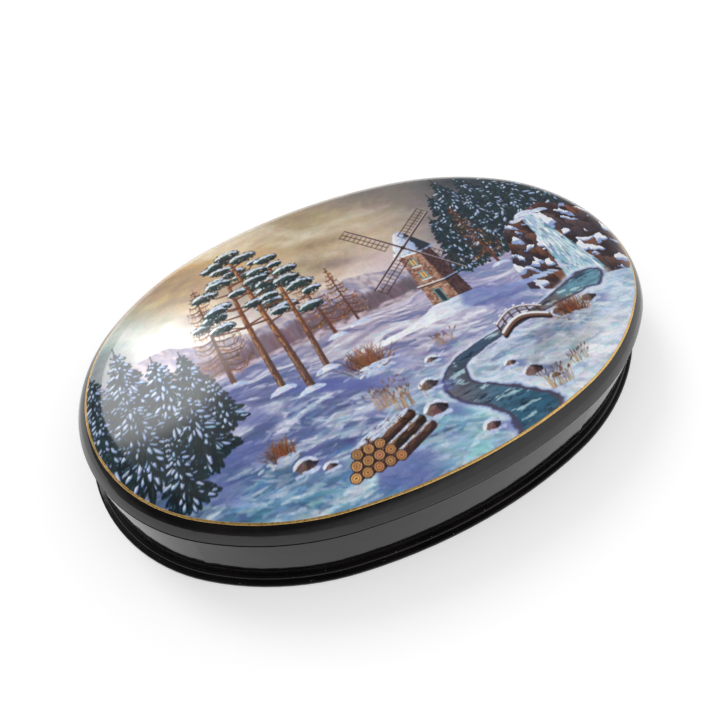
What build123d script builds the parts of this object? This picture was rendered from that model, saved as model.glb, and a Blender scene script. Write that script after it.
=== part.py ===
"""Oval lacquered papier-mache box with a hinged, domed lid.

Millimetres, +Z up. The origin is the centre of the foot's underside, +X runs
along the length, and the front of the box faces -Y, so the hinge is at +Y.
"""
import math
import os

from build123d import *

# Outline of the box: an oval of eight tangent arcs
body_length = 145.0
body_width = 95.0
end_radius = 39.6
end_turn = 50.0
corner_turn = 78.0

# Heights
plinth_height = 2.2
seam_height = 17.0
floor_thickness = 2.8

# Walls
wall_thickness = 4.0
wall_flare = 0.55
collar_thickness = 1.5
collar_rise = 1.7
collar_clearance = 0.35
collar_edge_radius = 0.5
seam_chamfer = 0.25

# Foot moulding: a rounded lip with a finer bead set back on it
plinth_reach = 2.6
lip_height = 1.15
lip_radius = 0.5
underside_radius = 0.45
bead_inset = 1.15
bead_radius = 0.55

# Lid: a pressed panel with a rounded shoulder on a plain rim
rim_height = 2.2
shoulder_radius = 8.6
shoulder_overhang = 0.65
shoulder_rise = 4.75
crown_rise = 3.2
panel_thickness = 2.8
inner_shoulder_radius = 1.4

# Mother-of-pearl let in under the painting
pearl_thickness = 0.4
pearl_fit = 0.05
pearl_corner_share = 0.3
# Centre x, length and width as shares of the half length, centre y as a share of
# the half width, and the turn in degrees, in the order x, y, length, width, turn
pearl_plate_shares = (
    (-0.60, 0.26, 0.44, 0.27, 20.0),
    (-0.08, 0.46, 0.34, 0.18, -6.0),
    (0.45, -0.60, 0.34, 0.17, 20.0),
    (-0.58, -0.50, 0.26, 0.14, -30.0),
)

# Hinge: a thin brass butt hinge let into the two rims
knuckle_count = 5
knuckle_length = 4.0
knuckle_radius = 1.0
knuckle_gap = 0.2
pin_radius = 0.5
pin_clearance = 0.05
pin_head_length = 0.35
pin_head_radius = 0.75
hinge_clearance = 0.2
leaf_thickness = 0.5
leaf_land = 0.7
leaf_fit = 0.1

# Brass nails that hold the leaves
nail_count = 4
nail_radius = 0.4
nail_head_radius = 0.75
nail_head_depth = 0.3
body_nail_length = 5.0
lid_nail_length = 1.9
nail_fit = 0.04

# One overrun for every cut, and one in degrees for every swept block
overrun = 1.0
swing_overrun = 1.0


def oval_radii():
    """Radii of the corner and side arcs that close the oval tangentially."""
    half_length = body_length / 2
    half_width = body_width / 2
    c1 = math.cos(math.radians(end_turn))
    s1 = math.sin(math.radians(end_turn))
    c2 = math.cos(math.radians(corner_turn))
    s2 = math.sin(math.radians(corner_turn))
    right_x = end_radius - half_length - end_radius * c1
    right_y = half_width - end_radius * s1
    determinant = (c2 - c1) * (1 - s2) + c2 * (s2 - s1)
    corner = (right_x * (1 - s2) + c2 * right_y) / determinant
    side = ((c2 - c1) * right_y - (s2 - s1) * right_x) / determinant
    return corner, side


corner_radius, side_radius = oval_radii()


def oval(offset):
    """Flat oval face, parallel to the body's outline at the given offset."""
    end_centre = body_length / 2 - end_radius
    side_centre = body_width / 2 - side_radius
    corner_x = (side_radius - corner_radius) * math.cos(math.radians(corner_turn))
    corner_y = side_centre + (side_radius - corner_radius) * math.sin(math.radians(corner_turn))
    corner_span = corner_turn - end_turn
    side_span = 180.0 - 2 * corner_turn
    arcs = []
    for sign in (1, -1):
        end_start = -end_turn if sign > 0 else 180.0 - end_turn
        side_start = corner_turn if sign > 0 else 180.0 + corner_turn
        arcs.append(CenterArc((sign * end_centre, 0), end_radius + offset, end_start, 2 * end_turn))
        arcs.append(CenterArc((0, sign * side_centre), side_radius + offset, side_start, side_span))
    for sign_x, sign_y, start in (
        (1, 1, end_turn),
        (-1, 1, 180.0 - corner_turn),
        (-1, -1, 180.0 + end_turn),
        (1, -1, 360.0 - corner_turn),
    ):
        centre = (sign_x * corner_x, sign_y * corner_y)
        arcs.append(CenterArc(centre, corner_radius + offset, start, corner_span))
    return make_face(Wire(arcs))


def oval_block(offset, low, high):
    """Upright block on the oval between two heights."""
    return extrude(Pos(0, 0, low) * oval(offset), high - low)


def oval_tube(outer_offset, inner_offset, low, high):
    """Upright oval tube between two heights."""
    return oval_block(outer_offset, low, high) - oval_block(inner_offset, low - overrun, high + overrun)


def flared_block(low_offset, high_offset, low, high):
    """Block on the oval whose side leans evenly from one offset to the other."""
    ends = [Pos(0, 0, low) * oval(low_offset), Pos(0, 0, high) * oval(high_offset)]
    return loft(ends, ruled=True)


def top_ring(solid):
    """Edges round the outside of a solid's highest flat face."""
    return solid.faces().sort_by(Axis.Z)[-1].outer_wire().edges()


def bottom_ring(solid):
    """Edges round the outside of a solid's lowest flat face."""
    return solid.faces().sort_by(Axis.Z)[0].outer_wire().edges()


def crown_block(top, low):
    """Block whose top is domed both ways, higher in the middle by crown_rise."""
    reach_x = body_length / 2 + shoulder_overhang
    reach_y = body_width / 2 + shoulder_overhang
    radius_x = (reach_x**2 + crown_rise**2) / (2 * crown_rise)
    radius_y = (reach_y**2 + crown_rise**2) / (2 * crown_rise)
    wide = reach_x + overrun
    edge_drop = radius_x - math.sqrt(radius_x**2 - wide**2)
    right = (wide, 0, top - edge_drop)
    left = (-wide, 0, top - edge_drop)
    arc = ThreePointArc(left, (0, 0, top), right)
    base = Polyline(right, (wide, 0, low), (-wide, 0, low), left)
    profile = make_face(Wire([arc] + list(base.edges())))
    axis = Axis((0, 0, top - radius_y), (1, 0, 0))
    swing = math.degrees(math.asin((reach_y + overrun) / radius_y)) + swing_overrun
    return revolve(profile.rotate(axis, -swing), axis, 2 * swing)


# Heights that follow from the sizes above
floor_top = plinth_height + floor_thickness
rim_top = seam_height + rim_height
crown_edge = seam_height + shoulder_rise
lid_top = crown_edge + crown_rise
collar_top = seam_height + collar_rise
lid_bore_offset = -(wall_thickness - collar_clearance)
collar_bore_offset = -(wall_thickness + collar_thickness)


def lid_blank():
    """The closed outer shape of the lid, from the seam up."""
    low = crown_edge - 2 * shoulder_radius
    block = oval_block(shoulder_overhang, low, lid_top + overrun)
    block = block & crown_block(lid_top, low - crown_rise - overrun)
    top_face = block.faces().sort_by(Axis.Z)[-1]
    rounded = fillet(top_face.edges(), shoulder_radius)
    return rounded & oval_block(0, seam_height, lid_top + overrun)


def lid_cavity():
    """The hollow under the panel, a constant thickness below its crown."""
    low = seam_height - 2 * inner_shoulder_radius
    ceiling = lid_top - panel_thickness
    block = oval_block(lid_bore_offset, low, lid_top + overrun)
    block = block & crown_block(ceiling, low - crown_rise - overrun)
    top_face = block.faces().sort_by(Axis.Z)[-1]
    return fillet(top_face.edges(), inner_shoulder_radius)


def above(height):
    """Everything on the box's footprint above a height."""
    return oval_block(plinth_reach, height, lid_top + overrun)


def below(height):
    """Everything on the box's footprint below a height."""
    return oval_block(plinth_reach, -overrun, height)


# Hinge places
axis_y = body_width / 2
hinge_length = knuckle_count * knuckle_length
leaf_inner_y = body_width / 2 - wall_thickness + leaf_land
leaf_outer_y = axis_y - knuckle_radius - hinge_clearance
nail_y = (leaf_inner_y + leaf_outer_y) / 2
nail_pitch = hinge_length / nail_count
nail_places = [(i - (nail_count - 1) / 2) * nail_pitch for i in range(nail_count)]


def bar(x_size, y_low, y_high, z_low, z_high):
    """Block centred on x = 0 between two y and two z values."""
    centre = Pos(0, (y_low + y_high) / 2, (z_low + z_high) / 2)
    return centre * Box(x_size, y_high - y_low, z_high - z_low)


def nail(length, fit):
    """Countersunk nail with its head's flat top at z = 0, pointing down."""
    head = Cone(nail_radius + fit, nail_head_radius + fit, nail_head_depth)
    shank = Cylinder(nail_radius + fit, length)
    return Pos(0, 0, -nail_head_depth / 2) * head + Pos(0, 0, -length / 2) * shank


def nails(side, length, fit):
    """All nails of one leaf: side is -1 for the body and 1 for the lid."""
    turn = Rot(180, 0, 0) if side > 0 else Rot(0, 0, 0)
    return [Pos(x, nail_y, seam_height) * turn * nail(length, fit) for x in nail_places]


def leaf(side):
    """One leaf: a plate on the seam plane and every other knuckle."""
    z_low = seam_height - leaf_thickness if side < 0 else seam_height
    z_high = z_low + leaf_thickness
    plate = bar(hinge_length, leaf_inner_y, leaf_outer_y, z_low, z_high)
    for i in range(knuckle_count):
        own = (i % 2 == 0) == (side < 0)
        if not own:
            continue
        x = (i - (knuckle_count - 1) / 2) * knuckle_length
        width = knuckle_length - knuckle_gap
        barrel = Pos(x, axis_y, seam_height) * Rot(0, 90, 0) * Cylinder(knuckle_radius, width)
        tongue = Pos(x, 0, 0) * bar(width, leaf_outer_y - leaf_thickness, axis_y, z_low, z_high)
        plate = plate + barrel + tongue
    bore = Rot(0, 90, 0) * Cylinder(pin_radius + pin_clearance, hinge_length + 2 * overrun)
    plate = plate - Pos(0, axis_y, seam_height) * bore
    for hole in nails(side, leaf_thickness + overrun, nail_fit):
        plate = plate - hole
    return plate


def leaf_pocket(side):
    """The mortise for a leaf in its rim, with a channel for the knuckles."""
    z_low = seam_height - leaf_thickness if side < 0 else seam_height - overrun
    z_high = seam_height + overrun if side < 0 else seam_height + leaf_thickness
    pocket = bar(hinge_length + 2 * leaf_fit, leaf_inner_y - leaf_fit, axis_y, z_low, z_high)
    channel_length = hinge_length + 2 * (pin_head_length + leaf_fit)
    channel = Rot(0, 90, 0) * Cylinder(knuckle_radius + hinge_clearance, channel_length)
    return pocket + Pos(0, axis_y, seam_height) * channel


def hinge_pin():
    """The pin, with a small upset head at each end."""
    run = Rot(0, 90, 0) * Cylinder(pin_radius, hinge_length)
    for sign in (1, -1):
        x = sign * (hinge_length + pin_head_length) / 2
        run = run + Pos(x, 0, 0) * Rot(0, 90, 0) * Cylinder(pin_head_radius, pin_head_length)
    return Pos(0, axis_y, seam_height) * run


# Pieces of the base
def plinth():
    """Oval board under the box with a rounded lip and a bead on it."""
    lip = oval_block(plinth_reach, 0, lip_height)
    lip = fillet(top_ring(lip), lip_radius)
    lip = fillet(bottom_ring(lip), underside_radius)
    bead = oval_block(plinth_reach - bead_inset, lip_height, plinth_height)
    return lip + fillet(top_ring(bead), bead_radius)


def floor_board():
    """Board inside the wall, on the plinth."""
    return oval_block(-wall_thickness, plinth_height, floor_top)


def body_wall():
    """Oval wall, wider at its foot by the flare, with the hinge's mortise in its rim."""
    wall = flared_block(wall_flare, 0, plinth_height, seam_height)
    wall = wall - oval_block(-wall_thickness, plinth_height - overrun, seam_height + overrun)
    wall = chamfer(top_ring(wall), seam_chamfer)
    wall = wall - leaf_pocket(-1)
    for hole in nails(-1, body_nail_length, nail_fit):
        wall = wall - hole
    return wall


def collar():
    """Thin oval tube that lines the wall and guides the lid."""
    tube = oval_tube(-wall_thickness, collar_bore_offset, floor_top, collar_top)
    rim = tube.faces().sort_by(Axis.Z)[-1]
    return fillet(rim.edges(), collar_edge_radius)


# Pieces of the lid
def lid_rim(blank):
    """Ring that closes on the wall and takes the collar inside it."""
    ring = (blank & below(rim_top)) - oval_block(lid_bore_offset, 0, lid_top)
    ring = ring - oval_tube(overrun, -seam_chamfer, seam_height - overrun, seam_height + seam_chamfer)
    ring = ring - leaf_pocket(1)
    for hole in nails(1, lid_nail_length, nail_fit):
        ring = ring - hole
    return ring


def pearl_shape(share, depth, fit):
    """One mother-of-pearl plate's outline as an upright block."""
    half_length = body_length / 2
    half_width = body_width / 2
    x, y, length, width, turn = share
    size = (length * half_length + 2 * fit, width * half_length + 2 * fit)
    outline = RectangleRounded(size[0], size[1], pearl_corner_share * size[1])
    placed = Pos(x * half_length, y * half_width, seam_height) * Rot(0, 0, turn) * outline
    return extrude(placed, depth)


def pearl_layer(blank):
    """The layer just under the lid's surface in which the pearl lies."""
    return blank - (Pos(0, 0, -pearl_thickness) * blank)


def main():
    os.makedirs("parts", exist_ok=True)
    blank = lid_blank()
    layer = pearl_layer(blank)
    depth = lid_top - seam_height + overrun
    pearls = [layer & pearl_shape(share, depth, 0) for share in pearl_plate_shares]
    pockets = [layer & pearl_shape(share, depth, pearl_fit) for share in pearl_plate_shares]
    panel = (blank & above(rim_top)) - lid_cavity()
    for pocket in pockets:
        panel = panel - pocket
    nodes = {
        "plinth": plinth(),
        "floor_board": floor_board(),
        "body_wall": body_wall(),
        "inner_collar": collar(),
        "lid_rim": lid_rim(blank),
        "lid_panel": panel,
        "pearl_inlays": pearls,
        "hinge_leaf_body": leaf(-1),
        "hinge_leaf_lid": leaf(1),
        "hinge_pin": hinge_pin(),
        "hinge_nails_body": nails(-1, body_nail_length, 0),
        "hinge_nails_lid": nails(1, lid_nail_length, 0),
    }
    for name, shape in nodes.items():
        solids = shape if isinstance(shape, list) else [shape]
        flat = [solid for item in solids for solid in item.solids()]
        piece = flat[0] if len(flat) == 1 else Compound(flat)
        export_step(piece, f"parts/{name}.step")


main()
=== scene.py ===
"""Dresses the oval lacquer box: its painted and gilt lid, its lacquers, and the light it stands in."""
from math import atan2, cos, exp, hypot, pi, radians, sin, sqrt, tanh

import bpy
import numpy as np
from mathutils import Matrix, Vector


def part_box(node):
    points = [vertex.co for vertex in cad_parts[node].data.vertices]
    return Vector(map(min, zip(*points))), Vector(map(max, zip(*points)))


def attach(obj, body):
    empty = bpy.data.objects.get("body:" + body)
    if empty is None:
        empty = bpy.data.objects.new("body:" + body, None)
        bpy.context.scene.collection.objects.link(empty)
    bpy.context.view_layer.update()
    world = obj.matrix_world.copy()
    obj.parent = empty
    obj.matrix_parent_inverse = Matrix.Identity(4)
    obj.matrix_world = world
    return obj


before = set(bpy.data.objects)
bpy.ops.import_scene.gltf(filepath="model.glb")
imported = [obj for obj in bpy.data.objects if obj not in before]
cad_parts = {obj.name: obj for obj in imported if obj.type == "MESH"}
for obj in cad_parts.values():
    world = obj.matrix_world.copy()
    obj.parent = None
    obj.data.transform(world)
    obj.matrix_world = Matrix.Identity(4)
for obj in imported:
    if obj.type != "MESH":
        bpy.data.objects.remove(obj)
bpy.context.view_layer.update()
mm = 0.001

# The lid's outline, in millimetres: an oval of eight tangent arcs
half_length = 72.5
half_width = 47.5
end_radius = 39.6
end_turn = radians(50)
corner_turn = radians(78)

# The lid's dome: a crown on a rounded shoulder
lid_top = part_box("lid_panel")[1][2] / mm
crown_rise = 3.2
shoulder_radius = 8.6
shoulder_overhang = 0.65

# Paint on the lid
picture_inset = 3.0
gilt_width = 0.46
paint_lift = 0.02
gilt_foot, gilt_lift = 0.004, 0.045

# The picture's grid: how far inside the outline it ends, and its step
grid_inset = 2.6
pitch = 0.232

upright = pi / 2


def arcs():
    """Centre, radius and span of the oval's end, corner and side arcs, first quarter."""
    c1, s1 = cos(end_turn), sin(end_turn)
    c2, s2 = cos(corner_turn), sin(corner_turn)
    right_x = end_radius - half_length - end_radius * c1
    right_y = half_width - end_radius * s1
    determinant = (c2 - c1) * (1 - s2) + c2 * (s2 - s1)
    corner = (right_x * (1 - s2) + c2 * right_y) / determinant
    side = ((c2 - c1) * right_y - (s2 - s1) * right_x) / determinant
    corner_centre = ((side - corner) * c2, half_width - side + (side - corner) * s2)
    return (
        ((half_length - end_radius, 0), end_radius, 0, end_turn),
        (corner_centre, corner, end_turn, corner_turn),
        ((0, half_width - side), side, corner_turn, upright),
    )


oval_arcs = arcs()


def outline(steps):
    """Points round the oval and the outward normals there, made from its first quarter."""
    angles = np.linspace(0, upright, steps + 1)
    normals = np.stack([np.cos(angles), np.sin(angles)], 1)
    points = np.zeros_like(normals)
    for centre, radius, low, high in oval_arcs:
        on = (angles >= low - 1e-9) & (angles <= high + 1e-9)
        points[on] = np.array(centre) + radius * normals[on]
    quarters = []
    for flip_x, flip_y, step in ((1, 1, 1), (-1, 1, -1), (-1, -1, 1), (1, -1, -1)):
        flip = np.array((flip_x, flip_y) * 2)
        quarters.append((np.concatenate([points, normals], 1) * flip)[::step][:-1])
    ring = np.concatenate(quarters)
    return ring[:, :2], ring[:, 2:]


def nearest(x, y):
    """How far points lie inside the oval, and the outline's outward normal there."""
    inset = np.full(x.shape, np.inf)
    nx, ny = np.zeros(x.shape), np.zeros(x.shape)
    for (cx, cy), radius, low, high in oval_arcs:
        dx, dy = np.abs(x) - cx, np.abs(y) - cy
        reach = np.maximum(np.hypot(dx, dy), 1e-9)
        angle = np.arctan2(dy, dx)
        closer = (angle >= low - 1e-6) & (angle <= high + 1e-6) & (radius - reach < inset)
        inset = np.where(closer, radius - reach, inset)
        nx, ny = np.where(closer, dx / reach, nx), np.where(closer, dy / reach, ny)
    return inset, nx * np.sign(x), ny * np.sign(y)


def crown_radius(half_size):
    reach = half_size + shoulder_overhang
    return (reach**2 + crown_rise**2) / (2 * crown_rise)


crown_radius_x, crown_radius_y = crown_radius(half_length), crown_radius(half_width)


def crown_height(x, y):
    along = crown_radius_y - crown_radius_x + np.sqrt(crown_radius_x**2 - x * x)
    return lid_top - crown_radius_y + np.sqrt(along * along - y * y)


def slopes(height, x, y, step=0.01):
    """How steeply a height rises along x and along y."""
    rise_x = height(x + step, y) - height(x - step, y)
    rise_y = height(x, y + step) - height(x, y - step)
    return rise_x / (2 * step), rise_y / (2 * step)


def lid_height(x, y):
    """Height of the lid's outside over a place: its crown, or the rounded shoulder."""
    inset, nx, ny = nearest(x, y)
    across = shoulder_radius - inset - shoulder_overhang
    centre_x, centre_y = x - nx * across, y - ny * across
    slope = np.hypot(*slopes(crown_height, centre_x, centre_y))
    steep = np.sqrt(1 + slope * slope)
    centre_z = crown_height(centre_x, centre_y) - shoulder_radius * steep
    ball = centre_z + np.sqrt(np.maximum(shoulder_radius**2 - across**2, 0))
    on_shoulder = across > shoulder_radius * slope / steep
    return np.where(on_shoulder, ball, crown_height(x, y))


def lid_normal(x, y):
    """Which way the lid's outside faces over a place."""
    slope_x, slope_y = slopes(lid_height, x, y, 0.02)
    normal = np.stack([-slope_x, -slope_y, np.ones_like(slope_x)], -1)
    return normal / np.linalg.norm(normal, axis=-1, keepdims=True)


# The grid's places, in millimetres on the lid seen from above
columns = 2 * int((half_length - grid_inset) / pitch) + 1
rows = 2 * int((half_width - grid_inset) / pitch) + 1
xs = (np.arange(columns) - columns // 2) * pitch
ys = (np.arange(rows) - rows // 2) * pitch
X, Y = np.meshgrid(xs, ys)
canvas = np.zeros((rows, columns, 3))
rng = np.random.default_rng(7)


def smooth(t):
    t = np.clip(t, 0, 1)
    return t * t * (3 - 2 * t)


def mix(a, b, t):
    return np.array(a) * (1 - t) + np.array(b) * t


def between(low, high):
    return low + (high - low) * rng.random()


def vary(colour, light=0.05, hue=0.02):
    """The colour with a touch of chance in its lightness and hue."""
    return np.clip(np.array(colour) * (1 + rng.normal(0, light)) + rng.normal(0, hue, 3), 0, 1)


def value_noise(u, v, seed):
    cells = 64
    table = np.random.default_rng(seed).random((cells, cells))
    i, j = np.floor(u).astype(int), np.floor(v).astype(int)
    a, b = smooth(u - i), smooth(v - j)
    i0, i1, j0, j1 = i % cells, (i + 1) % cells, j % cells, (j + 1) % cells
    top = mix(table[i0, j0], table[i1, j0], a)
    low = mix(table[i0, j1], table[i1, j1], a)
    return mix(top, low, b)


def clouds(u, v, seed, octaves=4):
    """Cloudy noise from 0 to 1, about 0.5 on average."""
    total, weight = 0, 0
    for k in range(octaves):
        share = 0.55**k
        total = total + share * value_noise(u * 2**k + 17.3 * k, v * 2**k + 5.1 * k, seed + k)
        weight += share
    return total / weight


def wash(anchors, reach):
    """A soft field of colour from (x, y, colour) places, each felt over about reach."""
    field, total = np.zeros_like(canvas), np.zeros_like(X)
    for x, y, colour in anchors:
        weight = np.exp(-((X - x) ** 2 + (Y - y) ** 2) / (2 * reach**2)) + 1e-6
        field += weight[..., None] * np.array(colour)
        total += weight
    return field / total[..., None]


def window(points, margin):
    """Index ranges of the grid that cover points and a margin round them."""
    ranges = []
    for axis, places in ((1, ys), (0, xs)):
        values = [point[axis] for point in points]
        start = max(int((min(values) - margin - places[0]) / pitch) - 1, 0)
        stop = min(int((max(values) + margin - places[0]) / pitch) + 3, len(places))
        ranges.append(slice(start, max(start, stop)))
    return tuple(ranges)


def blend_in(place, mask, colour):
    """Lays a colour, or a field of colour, over part of the canvas through a mask."""
    part = canvas[place]
    part += mask[..., None] * (np.asarray(colour) - part)


def lay(mask, colour):
    blend_in(slice(None), mask, colour)


def turned(x, y, angle, place=slice(None)):
    """Grid places as a point sees them: how far along an angle, and how far across it."""
    dx, dy = X[place] - x, Y[place] - y
    c, s = cos(angle), sin(angle)
    return dx * c + dy * s, dy * c - dx * s


def to_segment(gx, gy, p, q):
    """How far grid places are from a segment, and where along it they lie, from 0 to 1."""
    dx, dy = q[0] - p[0], q[1] - p[1]
    t = np.clip(((gx - p[0]) * dx + (gy - p[1]) * dy) / max(dx * dx + dy * dy, 1e-9), 0, 1)
    return np.hypot(gx - p[0] - t * dx, gy - p[1] - t * dy), t


def dab(x, y, angle, length, width, colour, alpha=0.85):
    """One touch of a loaded brush: a slim oval."""
    place = window([(x, y)], length / 2 + width)
    u, v = turned(x, y, angle, place)
    u = u / (length / 2)
    edge = width / 2 * np.sqrt(np.clip(1 - u * u, 0, 1))
    ink = (np.abs(u) < 1) * min(1, width / pitch)
    blend_in(place, np.clip((edge - np.abs(v)) / pitch + 0.5, 0, 1) * ink * alpha, colour)


def line(points, widths, colour, alpha=1):
    """A brush line through points that goes from the first width to the last."""
    place = window(points, max(widths))
    mask = np.zeros_like(X[place])
    for k, (p, q) in enumerate(zip(points, points[1:])):
        away, t = to_segment(X[place], Y[place], p, q)
        width = widths[0] + (widths[-1] - widths[0]) * (k + t) / (len(points) - 1)
        ink = np.clip((width / 2 - away) / pitch + 0.5, 0, 1) * np.minimum(1, width / pitch)
        mask = np.maximum(mask, ink)
    blend_in(place, mask * alpha, colour)


def area(points):
    """Mask of a polygon with an edge one grid step soft."""
    place = window(points, 1)
    gx, gy = X[place], Y[place]
    inside = np.zeros(gx.shape, bool)
    near = np.full(gx.shape, np.inf)
    for k, (x1, y1) in enumerate(points):
        x0, y0 = points[k - 1]
        inside ^= ((y0 > gy) != (y1 > gy)) & (gx < (x1 - x0) * (gy - y0) / (y1 - y0 or 1e-9) + x0)
        near = np.minimum(near, to_segment(gx, gy, (x0, y0), (x1, y1))[0])
    return place, np.clip(np.where(inside, near, -near) / pitch + 0.5, 0, 1)


def fill(points, colour):
    place, mask = area(points)
    blend_in(place, mask, colour)


picture_span = (-70, 70)

# Colours of the palette, as they look
ochre, peach, gold = (0.85, 0.69, 0.47), (0.82, 0.72, 0.58), (0.9, 0.7, 0.42)
pearl_white, snow_white = (0.97, 0.96, 0.92), (0.94, 0.95, 0.97)
snow_rose, snow_blue = (0.85, 0.79, 0.84), (0.56, 0.66, 0.86)
sky_teal, night_teal = (0.46, 0.6, 0.63), (0.17, 0.22, 0.26)
turquoise, ice_pale = (0.4, 0.7, 0.78), (0.72, 0.84, 0.88)
mauve, mist = (0.45, 0.38, 0.46), (0.5, 0.53, 0.6)
umber, sienna, rust = (0.22, 0.14, 0.13), (0.52, 0.29, 0.19), (0.7, 0.4, 0.22)
timber, dark_timber = (0.46, 0.31, 0.24), (0.28, 0.18, 0.17)
fir_dark, fir_teal = (0.06, 0.13, 0.16), (0.16, 0.35, 0.37)
shadow_blue, dark_water, near_black = (0.36, 0.4, 0.66), (0.24, 0.2, 0.28), (0.14, 0.1, 0.13)

# Brush touches: ranges of length and of width
short, middling, long = (0.6, 1.5), (0.8, 2.2), (1.5, 4)
hair, fine, full = (0.14, 0.28), (0.22, 0.4), (0.35, 0.7)


def toward(angle, length):
    """A step of a length along an angle."""
    return np.array((cos(angle), sin(angle))) * length


def brush(x, y, angle, length, width, tone, alpha=0.85):
    """One touch whose length and width are drawn from ranges."""
    dab(x, y, angle, between(*length), between(*width), tone, alpha)


def snow(x, y, blue, angle=0, length=middling, width=full):
    """One touch of snow, bluer the more it turns from the light."""
    tone = mix(snow_white, snow_blue, min(max(blue, 0), 1))
    brush(x, y, angle, length, width, vary(tone, 0.03))


def at_point(x, y):
    """Row and column of the grid under a place, kept on the grid."""
    row, column = int((y - ys[0]) / pitch), int((x - xs[0]) / pitch)
    return min(max(row, 0), rows - 1), min(max(column, 0), columns - 1)


def soften(passes):
    """Blurs the canvas a little, as wet paint runs together."""
    for axis in (0, 1) * passes:
        canvas[:] = (np.roll(canvas, 1, axis) + 2 * canvas + np.roll(canvas, -1, axis)) / 4


def rework(count, x_range, y_range, angle, spread, length, width, light, alpha):
    """Touches that take up the colour under them and vary it, so a wash turns into brushwork."""
    for _ in range(count):
        x, y = between(*x_range), between(*y_range)
        tone = vary(canvas[at_point(x, y)], light)
        brush(x, y, angle + rng.normal(0, spread), length, width, tone, alpha)


# Washes under the sky, the snow, its hollows and the ice: x, y and colour
sky_wash = (
    (-69, 6, sky_teal), (-55, 14, pearl_white), (-62, 26, sky_teal), (-44, 34, ochre),
    (-26, 34, ochre), (-40, 12, pearl_white), (-14, 18, peach), (-4, 40, (0.66, 0.59, 0.47)),
    (12, 24, peach), (24, 40, (0.46, 0.44, 0.42)), (44, 30, night_teal), (66, 12, night_teal),
    (10, 6, snow_rose), (-20, 5, snow_rose), (36, 14, (0.42, 0.4, 0.5)),
    (28, 28, (0.58, 0.53, 0.5)),
)
snow_wash = (
    (-62, -8, (0.5, 0.54, 0.66)), (-56, -24, (0.3, 0.4, 0.56)), (-44, -34, (0.26, 0.46, 0.62)),
    (-40, -14, (0.5, 0.5, 0.68)), (-24, -40, (0.3, 0.54, 0.7)), (-20, -27, (0.34, 0.38, 0.58)),
    (-8, -8, (0.74, 0.68, 0.74)), (6, -13, (0.72, 0.68, 0.78)), (-2, -38, (0.5, 0.72, 0.8)),
    (20, -31, (0.74, 0.8, 0.9)), (28, -40, snow_white), (44, -31, (0.84, 0.86, 0.92)),
    (58, -22, (0.72, 0.8, 0.9)), (62, -6, (0.4, 0.42, 0.54)), (26, -12, (0.6, 0.58, 0.74)),
    (-30, -22, (0.38, 0.45, 0.64)), (-10, -18, (0.64, 0.66, 0.8)),
)
hollow_wash = (
    (-50, -20, (0.24, 0.33, 0.5)), (-18, -30, (0.33, 0.34, 0.54)),
    (10, -30, (0.36, 0.42, 0.62)), (45, -30, (0.52, 0.66, 0.8)),
)
ice_wash = (
    (50, -16, (0.36, 0.54, 0.62)), (30, -20, (0.4, 0.38, 0.4)), (9, -23, (0.22, 0.32, 0.42)),
    (5, -30, (0.4, 0.38, 0.42)), (14, -42, (0.18, 0.36, 0.46)), (10, -35, (0.26, 0.42, 0.52)),
)


def sky():
    """Drifting clouds, golden at the left and dark at the right."""
    bend = clouds(X / 30, Y / 22, 11, 3)
    cloud = clouds(X / 24 + 0.9 * bend, (Y + 0.25 * X) / 8 + 1.7 * bend, 21, 5)
    lay(np.ones_like(X), wash(sky_wash, 8.5))
    lay(smooth((cloud - 0.5) * 5) * 0.55 * smooth((45 - X) / 60), pearl_white)
    lay(smooth((0.47 - cloud) * 5) * 0.35, (0.52, 0.46, 0.48))
    rework(2600, picture_span, (0, 45), 0.25, 0.4, (2, 7), (0.6, 1.7), 0.06, 0.32)
    soften(2)


def hills():
    """Far snowy ridges, lit from the left, with mist at their feet."""
    haze = (0.82, 0.76, 0.77)
    for base, rise, seed, lit, shade, fade in (
        (6, 13, 41, (0.84, 0.78, 0.79), (0.56, 0.55, 0.66), 0.14),
        (2.5, 9, 47, (0.86, 0.82, 0.86), (0.46, 0.47, 0.64), 0.06),
    ):
        crest = (base + rise * (clouds(X[0] / 24, X[0] * 0, seed, 5) - 0.25))[None, :]
        ridge = np.clip((crest - Y) / pitch + 0.5, 0, 1)
        u, v = (X + 0.7 * Y) / 5, (Y - 0.2 * X) / 9
        slope = clouds(u, v, seed + 5, 5) - clouds(u + 0.18, v, seed + 5, 5)
        light = smooth(0.5 + slope * 5)[..., None]
        lay(ridge, mix(shade, lit, light))
        lay(ridge * 0.5 * smooth((clouds(X / 2.2, Y / 3.5, seed + 9) - 0.6) * 8), mauve)
        lay(ridge * (smooth((7 - Y) / 9) * 0.7 + fade), haze)


def far_woods():
    """A low mauve wood along the foot of the hills, denser and darker at the right."""
    top = 2.8 + 4 * (clouds(X[0] / 8, X[0] * 0, 61) - 0.35) + 4 * smooth((X[0] - 25) / 25)
    for _ in range(3600):
        x, base = between(*picture_span), between(-2.5, 1)
        reach = max(top[at_point(x, 0)[1]] - base + between(-1.5, 1.2), 0.6)
        tone = mix(mauve, (0.24, 0.27, 0.34), between(0.3, 1) * smooth((x + 30) / 60))
        tone = mix(tone, (0.6, 0.44, 0.4), 0.5 * rng.random() * (x < 30))
        tip = (x + rng.normal(0, 0.4), base + reach)
        line([(x, base), tip], (between(0.6, 1), 0.2), vary(tone, 0.1), 0.42)
    for _ in range(420):
        x, y = between(*picture_span), between(-3, -1)
        brush(x, y, rng.normal(0, 0.2), long, (0.5, 1), vary(snow_rose), 0.45)
    soften(1)


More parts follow.
